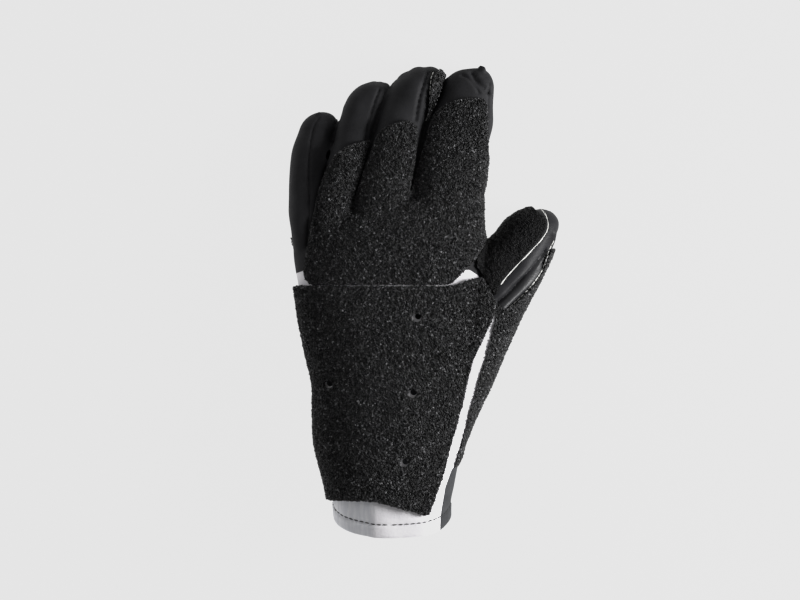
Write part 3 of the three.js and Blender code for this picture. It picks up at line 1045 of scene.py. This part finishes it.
def pared(points, edge):
    """A sheet's points, with the sheet thinned towards an edge as it is where it is sewn down."""
    nearest = np.full(len(points), np.inf)
    for start, end in zip(edge, edge[1:]):
        along = np.subtract(end[:2], start[:2])
        share = np.clip((points[:, :2] - start[:2]) @ along / (along @ along), 0, 1)
        offsets = points[:, :2] - start[:2] - share[:, None] * along
        nearest = np.minimum(nearest, np.hypot(offsets[:, 0], offsets[:, 1]))
    for i in np.nonzero(nearest < PARED_WIDTH)[0]:
        spot, _, _, height = skin_tree.find_nearest(Vector(points[i]) * MM)
        height /= MM
        if height > GAP:
            keep = (GAP + (height - GAP) * max(PARED_SHARE, nearest[i] / PARED_WIDTH)) / height
            points[i] = np.array(spot / MM) * (1 - keep) + points[i] * keep
    return points


def granulate(piece, voxel, material, grain=GRAIN_HEIGHT, pared_edge=()):
    """Round a sheet's cut edges over, raise its face in uneven grains, and thin out its hidden side."""
    apply_modifier(piece, "REMESH", mode="VOXEL", voxel_size=voxel * MM)
    apply_modifier(piece, "SMOOTH", factor=0.5, iterations=2)
    points = points_of(piece.data)
    heights = np.array([skin_tree.find_nearest(Vector(p) * MM)[3] / MM for p in points])
    lumps = np.array([noise.noise(Vector(p) / LUMP_SIZE) for p in points])
    swells = np.array([noise.noise(Vector(p) / SWELL_SIZE) for p in points])
    crumbs = np.clip(draws.normal(size=len(points)), -GRAIN_LIMIT, GRAIN_LIMIT)
    amounts = grain * crumbs + LUMP_HEIGHT * lumps + SWELL_HEIGHT * swells
    amounts *= np.clip(heights - GRAINS_FROM, 0, 1)
    set_points(piece.data, pared(points, pared_edge))
    jitter = draws.uniform(-1, 1, points.shape) * (JITTER * voxel * (heights > JITTER_FROM))[:, None]
    points += normals_of(piece.data) * amounts[:, None] + jitter
    points[:, 2] = np.maximum(points[:, 2], 0)
    set_points(piece.data, points)
    hidden = heights < HIDDEN_BELOW
    under = piece.vertex_groups.new(name="under")
    under.add(np.nonzero(hidden)[0].tolist(), 1.0, "REPLACE")
    kept = 1 - HIDDEN_THINNED * np.mean(hidden)
    apply_modifier(piece, "DECIMATE", ratio=kept, vertex_group="under", vertex_group_factor=10)
    piece.vertex_groups.clear()
    piece.data.materials.clear()
    piece.data.materials.append(material)
    piece.data.shade_flat()
    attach(piece, "root")


underside = glove_form("sheet_underside", GAP, FACE_VOXEL, 4)
layer = glove_form("sheet_face", GRIP_FACE, FACE_VOXEL, 4)
cut(layer, "DIFFERENCE", underside, keep_tool=True)
pad_layer = glove_form("pad_face", PAD_FACE, FACE_VOXEL, 4)
cut(pad_layer, "DIFFERENCE", underside)
cut(pad_layer, "DIFFERENCE", past_rim())

knuckle = copy_of(layer, "knuckle_sheet")
cut(knuckle, "INTERSECT", prism(KNUCKLE_SHEET, BACK_BOTTOM))
cut(knuckle, "DIFFERENCE", thumb_side(0))
granulate(largest_part(knuckle), SHEET_VOXEL, rubber)
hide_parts("knuckle_grip")

back = pad_layer
back.name = "back_sheet"
cut(back, "INTERSECT", prism(BACK_SHEET, BACK_BOTTOM))
for x, y in VENT_HOLES:
    cut(back, "DIFFERENCE", drill(x, y, HOLE_RADIUS))
granulate(largest_part(back), SHEET_VOXEL, rubber)
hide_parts("back_pad")

thumb_sheet = copy_of(layer, "thumb_sheet")
cut(thumb_sheet, "INTERSECT", prism(THUMB_SHEET, PALM_SHEET_TOP + GAP))
cut(thumb_sheet, "INTERSECT", thumb_side(GAP))
cut(thumb_sheet, "DIFFERENCE", prism(BACK_SHEET, BACK_BOTTOM - 1))
granulate(largest_part(thumb_sheet), SHEET_VOXEL, worn_rubber, PRESSED_GRAIN_HEIGHT)
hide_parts("thumb_grip")

# The rubber under the hand, glued and sewn on like the rest: one sheet under palm and thumb, which comes
# up the thumb's side as the strip beside the white leather, and a sheet under each finger past the
# knuckle line. The middle finger's sheet comes up on the side of the index finger.
KNUCKLE_LINE = ((-90, 38), (60, 70))
BETWEEN_FINGERS = (
    ((-100, 0), (-100, 150)),
    ((-66, 30), (-57.6, 68), (-51.4, 88), (-49.2, 98), (-38, 150)),
    ((-46, 30), (-40.7, 54), (-33.8, 76), (-27.6, 97), (-21.9, 115), (-14, 150)),
    ((-16, 30), (-8, 58), (-3.8, 76), (1.6, 98), (8.7, 117), (20, 150)),
    ((100, 0), (100, 150)),
)
# Where the palm's sheet is taller: to the thumb's side and towards the fingers, and from the wrist on
PALM_SIDE_X = 32
PALM_SIDE_Y = 36
WRIST_SIDE_Y = -40
PALM_SHEET_END_Y = -94
FINGER_SHEET_GAP = 0.2
# The lower end of the side strip, torn to a ragged point
PALM_SHEET_CORNER = (
    (18.2, -97),
    (18.6, -94.2),
    (20.2, -92.6),
    (20.9, -90.6),
    (22.6, -89.4),
    (23.4, -86.6),
    (90, -82),
    (90, -97),
)


def past_knuckles(shift):
    """The plan region past the knuckle line, moved on by an amount."""
    (x0, y0), (x1, y1) = KNUCKLE_LINE
    return prism(((x0, y0 + shift), (x1, y1 + shift), (x1, FAR), (x0, FAR)))


# The blocks that are joined here end a little apart from each other, so that no two of their faces meet
palm = copy_of(layer, "palm_sheet")
region = prism(PALM_SHEET_SIDE)
cut(region, "UNION", block(ACROSS, ALONG, (-60, FINGER_SHEET_TOP)))
cut(region, "UNION", block((-150, PALM_SIDE_X), (-200, PALM_SIDE_Y), (-61, PALM_SHEET_TOP)))
cut(region, "UNION", block((0, 149), (-199, WRIST_SIDE_Y), (-62, WRIST_SHEET_TOP)))
cut(palm, "INTERSECT", region)
cut(palm, "INTERSECT", block(ACROSS, (PALM_SHEET_END_Y, FAR), (-70, 120)))
beyond = past_knuckles(-GAP)
cut(beyond, "DIFFERENCE", thumb_side(0))
cut(palm, "DIFFERENCE", beyond)
cut(palm, "DIFFERENCE", prism(PALM_SHEET_CORNER))
granulate(largest_part(palm), PALM_VOXEL, rubber, pared_edge=PALM_SHEET_SIDE[:6])
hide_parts("palm_grip")

for i, name in enumerate(("little", "ring", "middle", "index")):
    left = [(x + FINGER_SHEET_GAP, y) for x, y in BETWEEN_FINGERS[i]]
    right = [(x - FINGER_SHEET_GAP, y) for x, y in BETWEEN_FINGERS[i + 1]]
    sheet = copy_of(layer, name + "_finger_sheet")
    cut(sheet, "INTERSECT", prism(left + right[::-1]))
    cut(sheet, "INTERSECT", past_knuckles(FINGER_SHEET_GAP))
    cut(sheet, "DIFFERENCE", thumb_side(0))
    under = block(ACROSS, ALONG, (-60, TIP_SHEET_TOP))
    if name == "middle":
        cut(under, "UNION", prism(MIDDLE_SHEET_SIDE))
    cut(sheet, "INTERSECT", under)
    cut(sheet, "INTERSECT", block(ACROSS, (-FAR, TIP_SHEET_END[name]), (-71, 121)))
    granulate(largest_part(sheet), PALM_VOXEL, rubber)
    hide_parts(name + "_finger_grip")
remove(layer)


# The sewing thread: twisted nylon, black in the hem, and white on the thumb and the middle finger. Three
# rows are single stitches, and the thread round the thumb's rubber is one line pulled into its seam.
def thread_material(name, colour):
    """Twisted nylon thread in one colour. Its twist is drawn coarser than real, so that it shows."""
    material, tree, place = new_material(name)
    twist = add_node(
        tree,
        "ShaderNodeTexNoise",
        values={"Scale": per_mm(0.7), "Detail": 3},
        links={"Vector": place},
    )
    bump = add_node(
        tree,
        "ShaderNodeBump",
        values={"Strength": 0.4, "Distance": 0.1 * MM},
        links={"Height": twist.outputs["Fac"]},
    )
    tone = ramp(tree, twist.outputs["Fac"], ((0.3, colour[0]), (0.7, colour[1])))
    shader = add_node(
        tree,
        "ShaderNodeBsdfPrincipled",
        values={"IOR": 1.53, "Roughness": 0.5},
        links={"Base Color": tone, "Normal": bump.outputs["Normal"]},
    )
    add_node(tree, "ShaderNodeOutputMaterial", links={"Surface": shader.outputs["BSDF"]})
    return material


def add_stitch(bm, start, end, radius):
    """One stitch: a short round-ended bar of thread from hole to hole."""
    way = end - start
    turn = way.to_track_quat("Z", "Y").to_matrix().to_4x4()
    size = Matrix.Diagonal((radius, radius, way.length / 2 + radius / 2, 1))
    matrix = Matrix.Translation((start + end) / 2) @ turn @ size
    bmesh.ops.create_uvsphere(bm, u_segments=8, v_segments=6, radius=1, matrix=matrix)


def stitch_row(name, line, length, pitch, radius, lift, material):
    """A row of stitches along points on the leather, broken off where the points jump."""
    bm = bmesh.new()
    run = 0.0
    start = None
    for (place, normal), (after, _) in zip(line, line[1:]):
        step = (after - place).length
        if step > LINE_JUMP:
            start = None
        if run % pitch < length and start is None:
            start = place + normal * lift
        next_stitch = (run + step) % pitch < run % pitch + 1e-9
        if start is not None and (next_stitch or run % pitch >= length):
            end = place + normal * lift
            if (end - start).length > length / 3:
                add_stitch(bm, start, end, radius)
            start = None
        run += step
    made = new_object(name, bm)
    made.data.materials.append(material)
    made.data.shade_smooth()
    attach(made, "root")
    return made


LINE_JUMP = 3
white_thread = thread_material("white_nylon_thread", ("#cfcfca", "#f2f2ee"))
black_thread = thread_material("black_nylon_thread", ("#08080a", "#141416"))
hem = stitch_row("hem_stitches", rim_line(tree_of(skin), HEM), 2.4, 3.5, 0.33, 0.18, black_thread)

THUMB_SEAM_THREAD = (
    (42.9, 8.6),
    (45.0, 11.6),
    (49.2, 16.3),
    (54.5, 21.9),
    (59.6, 27.4),
    (64.7, 33.1),
    (68.6, 38.9),
    (69.4, 43.2),
    (68.1, 47.5),
    (65.4, 50.7),
)
THUMB_SIDE_THREAD = (
    (73.2, 34),
    (71.2, 30.2),
    (69.3, 25),
    (66.6, 17.6),
    (62.6, 11.6),
    (57.6, 5.5),
    (52, 0),
    (46, -5.2),
    (43.2, -6.4),
)
MIDDLE_THREAD = ((5.1, 129.1), (4, 125.7), (3.4, 118.9), (2.8, 110.5), (1.1, 100.9))
THREAD_SIDES = 6
THREAD_UNEVENNESS = 0.9
THREAD_SWELL_SIZE = 3


def thread_line(name, line, radius, lift):
    """Thread pulled flat along a seam: one line that grows thicker and thinner."""
    bm = bmesh.new()
    rings = []
    for i, (place, normal) in enumerate(line):
        along = line[min(i + 1, len(line) - 1)][0] - line[max(i - 1, 0)][0]
        side = along.cross(normal).normalized()
        up = side.cross(along).normalized()
        turn = Matrix((up, side, up.cross(side))).transposed().to_4x4()
        thick = radius * (1 + THREAD_UNEVENNESS * noise.noise(place / THREAD_SWELL_SIZE))
        ring = bmesh.ops.create_circle(
            bm,
            cap_ends=False,
            radius=thick,
            segments=THREAD_SIDES,
            matrix=Matrix.Translation(place + normal * lift) @ turn,
        )
        rings.append(list(dict.fromkeys(edge for vert in ring["verts"] for edge in vert.link_edges)))
    for first, second in zip(rings, rings[1:]):
        bmesh.ops.bridge_loops(bm, edges=first + second)
    for end in (rings[0], rings[-1]):
        bmesh.ops.contextual_create(bm, geom=end)
    bmesh.ops.recalc_face_normals(bm, faces=bm.faces)
    made = new_object(name, bm)
    made.data.materials.append(white_thread)
    made.data.shade_smooth()
    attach(made, "root")


thread_line("thumb_patch_thread", drape(skin_tree, THUMB_SEAM_THREAD), 0.26, 1.7)
for name, corners, length, pitch, radius, lift in (
    ("thumb_side_thread", THUMB_SIDE_THREAD, 2.6, 3.2, 0.3, 0.35),
    ("middle_seam_thread", MIDDLE_THREAD, 2.2, 3.0, 0.26, 0.4),
):
    row = stitch_row(name, drape(skin_tree, corners), length, pitch, radius, lift, white_thread)
remove(skin)

# The floor: seamless pale paper. It glows a little, so that it shows as evenly bright as the backdrop
# does in the photograph.
FLOOR_REACH = 20000
bm = bmesh.new()
bmesh.ops.create_grid(bm, x_segments=1, y_segments=1, size=FLOOR_REACH)
floor = new_object("floor", bm)
pale, tree, _ = new_material("pale_paper_backdrop")
shader = add_node(
    tree,
    "ShaderNodeBsdfPrincipled",
    values={
        "Base Color": (0.06, 0.06, 0.06, 1),
        "Roughness": 0.9,
        "Specular IOR Level": 0.1,
        "Emission Color": (1, 1, 1, 1),
        "Emission Strength": 0.86,
    },
)
add_node(tree, "ShaderNodeOutputMaterial", links={"Surface": shader.outputs["BSDF"]})
floor.data.materials.append(pale)

# The tones. The photograph's highlights are held back: nothing is brighter than its backdrop
scene = bpy.context.scene
scene.view_settings.view_transform = "Standard"
scene.view_settings.use_curve_mapping = True
tones = scene.view_settings.curve_mapping
tones.clip_max_x = 2
tones.clip_max_y = 2
response = tones.curves[3]
response.points[0].location = (0, 0)
response.points[1].location = (2, 0.81)
for tone in ((0.62, 0.62), (0.75, 0.725), (0.9, 0.785), (1.3, 0.805)):
    response.points.new(*tone)
tones.update()

# The light: a pale studio whose walls are brighter than its ceiling, and a soft lamp low on the right,
# near enough for its light to fall off across the glove
world = bpy.data.worlds.new("studio")
scene.world = world
world.use_nodes = True
tree = world.node_tree
way = add_node(tree, "ShaderNodeTexCoord")
parts = add_node(tree, "ShaderNodeSeparateXYZ", links={"Vector": way.outputs["Generated"]})
walls = add_node(
    tree,
    "ShaderNodeMapRange",
    values={"From Min": 0.0, "From Max": 0.7, "To Min": 0.9, "To Max": 0.2},
    links={"Value": parts.outputs["Z"]},
)
tree.links.new(walls.outputs["Result"], tree.nodes["Background"].inputs["Strength"])
tree.nodes["Background"].inputs["Color"].default_value = (1, 1, 1, 1)

LAMP_WAY = Vector((0.9, 0.0, 0.42)).normalized()
LAMP_DISTANCE = 700
LAMP_WIDTH = 330
LAMP_WATTS = 8.2
lamp = bpy.data.lights.new("soft_key", "AREA")
lamp.shape = "DISK"
lamp.size = LAMP_WIDTH * MM
lamp.energy = LAMP_WATTS
lamp_object = bpy.data.objects.new("soft_key", lamp)
lamp_object.location = LAMP_WAY * LAMP_DISTANCE * MM
lamp_object.rotation_euler = LAMP_WAY.to_track_quat("Z", "Y").to_euler()
lamp_object.visible_camera = False
scene.collection.objects.link(lamp_object)

# The camera: a long lens straight above. The frame's width is given at the glove's middle height.
VIEW_CENTRE = (-13.6, 0.3)
VIEW_WIDTH = 452
VIEW_DISTANCE = 2500
OBJECT_PLANE = 22
SENSOR_WIDTH = 36
camera = bpy.data.cameras.new("camera")
camera.sensor_width = SENSOR_WIDTH
camera.lens = SENSOR_WIDTH * VIEW_DISTANCE / VIEW_WIDTH
camera.clip_end = 100
camera_object = bpy.data.objects.new("camera", camera)
camera_object.location = Vector((*VIEW_CENTRE, OBJECT_PLANE + VIEW_DISTANCE)) * MM
scene.collection.objects.link(camera_object)
scene.camera = camera_object
